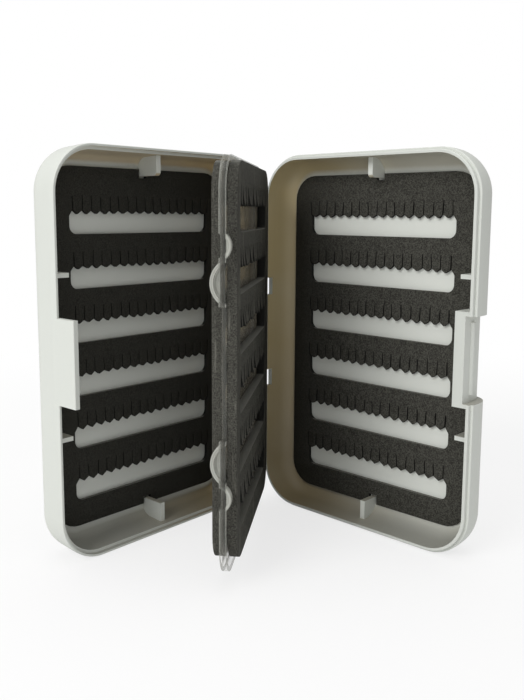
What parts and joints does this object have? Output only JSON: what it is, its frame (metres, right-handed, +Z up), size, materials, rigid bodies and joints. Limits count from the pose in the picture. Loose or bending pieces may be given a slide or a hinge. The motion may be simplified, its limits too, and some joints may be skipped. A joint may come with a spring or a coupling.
{
  "type": "fly box",
  "caption": "Pocket fly box: two moulded shells and a clear leaf on one hinge line, slit foam sheets inside, tongue latch.",
  "frame": {"origin": "middle of the straight band on the base's lower end, the face that the open box stands on", "axes": "+Z up along the hinge line; +X from the hinge to the base's latch wall, level with the base's rim; +Y towards the base's back"},
  "size_m": [0.1194, 0.1174, 0.148],
  "materials": {
    "shell_white": "satin white moulded ABS",
    "leaf_clear": "clear moulded styrene, polished",
    "foam_dark": "fine closed-cell EVA foam, matt charcoal",
    "film_dark": "thin adhesive film",
    "pin_steel": "drawn stainless wire"
  },
  "bodies": {
    "base": {"base_shell": "shell_white", "base_foam": "foam_dark", "base_foam_film": "film_dark", "upper_hinge_pin": "pin_steel", "lower_hinge_pin": "pin_steel"},
    "lid": {"lid_shell": "shell_white", "lid_foam": "foam_dark", "lid_foam_film": "film_dark"},
    "leaf": {"leaf_plate": "leaf_clear", "leaf_base_side_foam": "foam_dark", "leaf_base_side_foam_film": "film_dark", "leaf_lid_side_foam": "foam_dark", "leaf_lid_side_foam_film": "film_dark"}
  },
  "joints": [
    {"name": "lid_hinge", "type": "hinge", "parent": "base", "child": "lid", "pos_m": [-0.0534, -0.0015, 0.074], "axis": [0, 0, -1], "range_deg": [-88, 92]},
    {"name": "leaf_hinge", "type": "hinge", "parent": "base", "child": "leaf", "pos_m": [-0.0534, -0.0015, 0.074], "axis": [0, 0, -1], "range_deg": [-53.3, 55.7]}
  ],
  "couplings": [
    {"joint": "leaf_hinge", "follows": "lid_hinge", "ratio": 0.6057}
  ]
}
